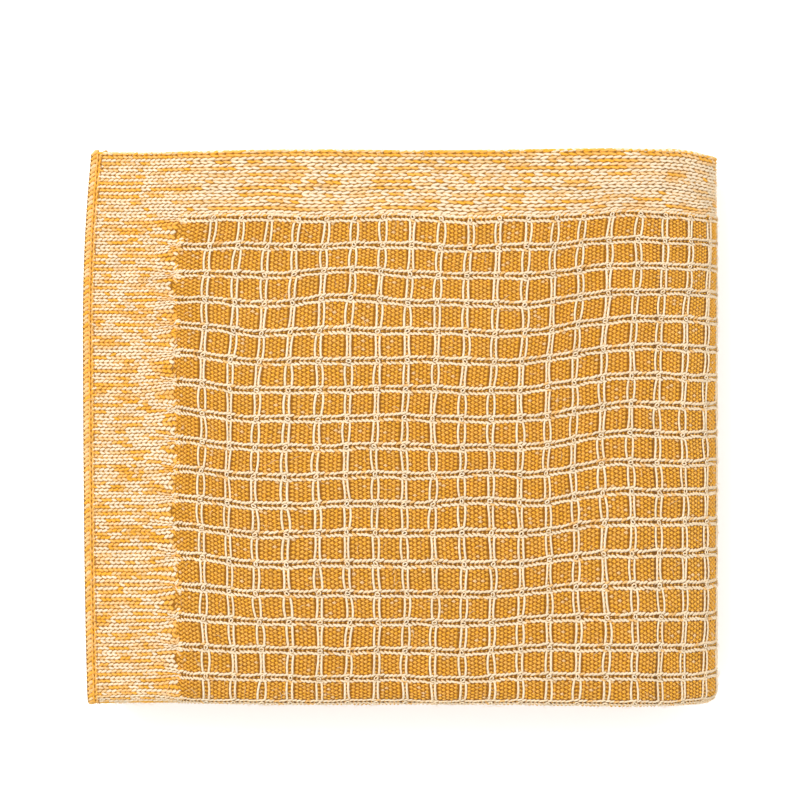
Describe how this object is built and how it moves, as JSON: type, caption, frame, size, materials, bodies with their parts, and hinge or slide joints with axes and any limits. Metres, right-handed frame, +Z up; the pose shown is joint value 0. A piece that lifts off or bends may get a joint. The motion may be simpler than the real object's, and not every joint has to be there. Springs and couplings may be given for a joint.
{
  "type": "folded throw blanket",
  "caption": "Knitted throw blanket with an open check pattern and marled borders, folded in quarters both ways into a flat stack that opens at its spine fold.",
  "frame": {"origin": "middle of the underside, on the surface that the throw lies on", "axes": "+X towards the round spine fold, +Y towards the side hems, +Z up"},
  "size_m": [0.372, 0.325, 0.0621],
  "materials": {
    "check_knit": "mustard purl squares under a net of cream chain lines and floats",
    "marled_knit": "plain knit in mustard and cream yarns run together",
    "binding_knit": "linked cuff in mustard and cream"
  },
  "bodies": {
    "lower_leaves": {"third_leaf_field": "check_knit", "third_leaf_outer_border": "marled_knit", "third_leaf_inner_border": "marled_knit", "bottom_leaf_field": "check_knit", "bottom_leaf_outer_border": "marled_knit", "bottom_leaf_inner_border": "marled_knit", "rear_fold_field": "check_knit", "rear_fold_outer_border": "marled_knit", "rear_fold_inner_border": "marled_knit", "inner_spine_field": "check_knit", "inner_spine_outer_border": "marled_knit", "inner_spine_inner_border": "marled_knit", "outer_spine_field": "check_knit", "outer_spine_outer_border": "marled_knit", "outer_spine_inner_border": "marled_knit"},
    "upper_leaves": {"top_leaf_field": "check_knit", "top_leaf_outer_border": "marled_knit", "top_leaf_inner_border": "marled_knit", "top_leaf_end_border": "marled_knit", "top_leaf_end_binding": "binding_knit", "second_leaf_field": "check_knit", "second_leaf_outer_border": "marled_knit", "second_leaf_inner_border": "marled_knit", "second_leaf_end_border": "marled_knit", "second_leaf_end_binding": "binding_knit"}
  },
  "joints": [
    {"name": "spine_fold", "type": "hinge", "parent": "lower_leaves", "child": "upper_leaves", "pos_m": [0.15495, 0, 0.03105], "axis": [0, 1, 0], "range_deg": [0, 180], "deforming": ["inner_spine_field", "inner_spine_outer_border", "inner_spine_inner_border", "outer_spine_field", "outer_spine_outer_border", "outer_spine_inner_border"]}
  ]
}
